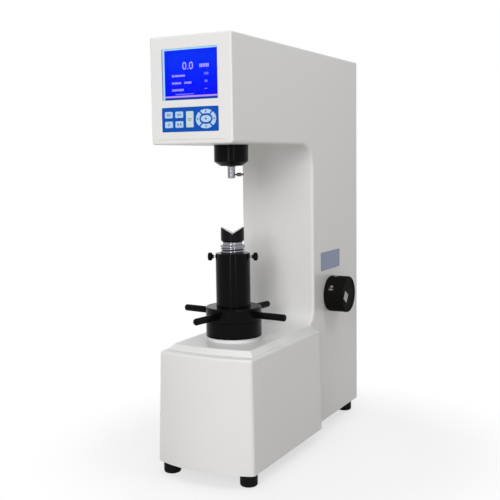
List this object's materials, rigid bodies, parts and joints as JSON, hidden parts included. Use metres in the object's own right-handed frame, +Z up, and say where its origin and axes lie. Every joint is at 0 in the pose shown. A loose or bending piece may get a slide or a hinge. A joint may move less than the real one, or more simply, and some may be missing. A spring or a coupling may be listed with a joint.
{
  "type": "bench hardness tester",
  "caption": "Bench hardness tester: C-shaped body with display and key panel, spindle and indenter, handwheel-driven elevating screw with V anvil, and load selector knob.",
  "frame": {"origin": "the point on the bench straight under the test axis, which the elevating screw and the indenter share", "axes": "+Z up along the test axis, +Y back towards the column, +X to the operator's right"},
  "size_m": [0.2213, 0.5375, 0.73],
  "materials": {
    "body_paint": "satin light grey paint",
    "dark_steel": "dark grey paint",
    "black_gloss": "glossy black",
    "black_plastic": "black plastic",
    "bright_steel": "ground steel",
    "bronze": "bronze",
    "iron": "machined cast iron",
    "plate_metal": "brushed aluminium",
    "foot_rubber": "dark rubber",
    "window_glass": "clear window",
    "display_blue": "backlit blue display",
    "overlay_blue": "blue overlay",
    "key_blue": "pale blue keys",
    "board": "circuit board",
    "motor_metal": "cast aluminium"
  },
  "bodies": {
    "body": {"main_frame": "body_paint", "head_front_cover": "body_paint", "top_cover": "body_paint", "rear_cover": "body_paint", "base_housing": "body_paint", "base_plate": "dark_steel", "side_plate": "plate_metal", "feet": "foot_rubber", "display_window": "window_glass", "display_module": "display_blue", "keypad_overlay": "overlay_blue", "keypad_board": "board", "thrust_race_lower": "bright_steel", "handwheel_flange": "black_gloss", "thrust_seat": "bright_steel", "screw_guide_bush": "bronze", "spindle_guard": "black_gloss", "spindle_guide": "bronze", "depth_encoder": "motor_metal", "pivot_shaft": "bright_steel", "pivot_yoke": "dark_steel", "loading_motor": "motor_metal", "selector_index_ring": "black_plastic", "selector_bush": "bronze", "mains_inlet": "black_plastic", "power_switch": "black_plastic", "power_supply": "motor_metal", "main_board": "board"},
    "handwheel": {"handwheel_hub": "black_gloss", "handwheel_handles": "black_gloss", "elevating_nut": "bronze", "thrust_race_upper": "bright_steel"},
    "screw": {"elevating_screw": "bright_steel", "v_anvil": "black_gloss", "dust_sleeve": "black_gloss"},
    "sleeve_screw_right": {"sleeve_screw_right": "black_gloss"},
    "sleeve_screw_left": {"sleeve_screw_left": "black_gloss"},
    "spindle": {"spindle": "bright_steel", "indenter": "bright_steel"},
    "indenter_screw": {"indenter_screw": "black_gloss"},
    "lever": {"load_lever": "iron"},
    "weights": {"hanger": "bright_steel", "weight_1": "iron", "weight_2": "iron", "weight_3": "iron"},
    "cam": {"loading_cam": "iron"},
    "selector": {"selector_knob": "black_plastic", "selector_pointer": "plate_metal", "selector_shaft": "bright_steel"},
    "rocker": {"switch_rocker": "black_plastic"},
    "key_upper_left": {"key_upper_left": "key_blue"},
    "key_upper_right": {"key_upper_right": "key_blue"},
    "key_lower_left": {"key_lower_left": "key_blue"},
    "key_lower_right": {"key_lower_right": "key_blue"},
    "key_tall": {"key_tall": "key_blue"},
    "key_up": {"key_up": "key_blue"},
    "key_down": {"key_down": "key_blue"},
    "key_left": {"key_left": "key_blue"},
    "key_right": {"key_right": "key_blue"},
    "key_enter": {"key_enter": "key_blue"}
  },
  "joints": [
    {"name": "handwheel_turn", "type": "hinge", "parent": "body", "child": "handwheel", "pos_m": [0, 0, 0.268], "axis": [0, 0, -1], "range_deg": [0, 5760]},
    {"name": "screw_lift", "type": "slide", "parent": "body", "child": "screw", "axis": [0, 0, 1], "range_m": [0, 0.08]},
    {"name": "sleeve_screw_right_turn", "type": "hinge", "parent": "screw", "child": "sleeve_screw_right", "pos_m": [0, 0, 0.3664], "axis": [0.9397, 0.342, 0], "range_deg": [0, 360]},
    {"name": "sleeve_screw_left_turn", "type": "hinge", "parent": "screw", "child": "sleeve_screw_left", "pos_m": [0, 0, 0.3664], "axis": [-0.9397, -0.342, 0], "range_deg": [0, 360]},
    {"name": "lever_tilt", "type": "hinge", "parent": "body", "child": "lever", "pos_m": [0, -0.02, 0.65], "axis": [1, 0, 0], "range_deg": [0, 1.72]},
    {"name": "spindle_slide", "type": "slide", "parent": "body", "child": "spindle", "axis": [0, 0, 1], "range_m": [0, 0.0006]},
    {"name": "indenter_screw_turn", "type": "hinge", "parent": "spindle", "child": "indenter_screw", "pos_m": [0, 0, 0.5082], "axis": [0.8829, 0.4695, 0], "range_deg": [0, 360]},
    {"name": "hanger_swing", "type": "hinge", "parent": "lever", "child": "weights", "pos_m": [0, 0.28, 0.6434], "axis": [1, 0, 0], "range_deg": [-1.72, 0]},
    {"name": "cam_turn", "type": "hinge", "parent": "body", "child": "cam", "pos_m": [0, 0.15, 0.604], "axis": [1, 0, 0], "continuous": true},
    {"name": "selector_turn", "type": "hinge", "parent": "body", "child": "selector", "pos_m": [0.095, 0.2582, 0.2697], "axis": [1, 0, 0], "range_deg": [-60, 60]},
    {"name": "switch_rock", "type": "hinge", "parent": "body", "child": "rocker", "pos_m": [-0.022, 0.403, 0.078], "axis": [1, 0, 0], "range_deg": [-20, 0]},
    {"name": "key_upper_left_press", "type": "slide", "parent": "body", "child": "key_upper_left", "axis": [0, 1, 0], "range_m": [0, 0.0006], "stiffness_N_per_m": 400},
    {"name": "key_upper_right_press", "type": "slide", "parent": "body", "child": "key_upper_right", "axis": [0, 1, 0], "range_m": [0, 0.0006], "stiffness_N_per_m": 400},
    {"name": "key_lower_left_press", "type": "slide", "parent": "body", "child": "key_lower_left", "axis": [0, 1, 0], "range_m": [0, 0.0006], "stiffness_N_per_m": 400},
    {"name": "key_lower_right_press", "type": "slide", "parent": "body", "child": "key_lower_right", "axis": [0, 1, 0], "range_m": [0, 0.0006], "stiffness_N_per_m": 400},
    {"name": "key_tall_press", "type": "slide", "parent": "body", "child": "key_tall", "axis": [0, 1, 0], "range_m": [0, 0.0006], "stiffness_N_per_m": 400},
    {"name": "key_up_press", "type": "slide", "parent": "body", "child": "key_up", "axis": [0, 1, 0], "range_m": [0, 0.0006], "stiffness_N_per_m": 400},
    {"name": "key_down_press", "type": "slide", "parent": "body", "child": "key_down", "axis": [0, 1, 0], "range_m": [0, 0.0006], "stiffness_N_per_m": 400},
    {"name": "key_left_press", "type": "slide", "parent": "body", "child": "key_left", "axis": [0, 1, 0], "range_m": [0, 0.0006], "stiffness_N_per_m": 400},
    {"name": "key_right_press", "type": "slide", "parent": "body", "child": "key_right", "axis": [0, 1, 0], "range_m": [0, 0.0006], "stiffness_N_per_m": 400},
    {"name": "key_enter_press", "type": "slide", "parent": "body", "child": "key_enter", "axis": [0, 1, 0], "range_m": [0, 0.0006], "stiffness_N_per_m": 400}
  ],
  "couplings": [
    {"joint": "screw_lift", "follows": "handwheel_turn", "m_per_rad": 0.00079577},
    {"joint": "spindle_slide", "follows": "lever_tilt", "m_per_rad": 0.02},
    {"joint": "hanger_swing", "follows": "lever_tilt", "ratio": -1}
  ]
}
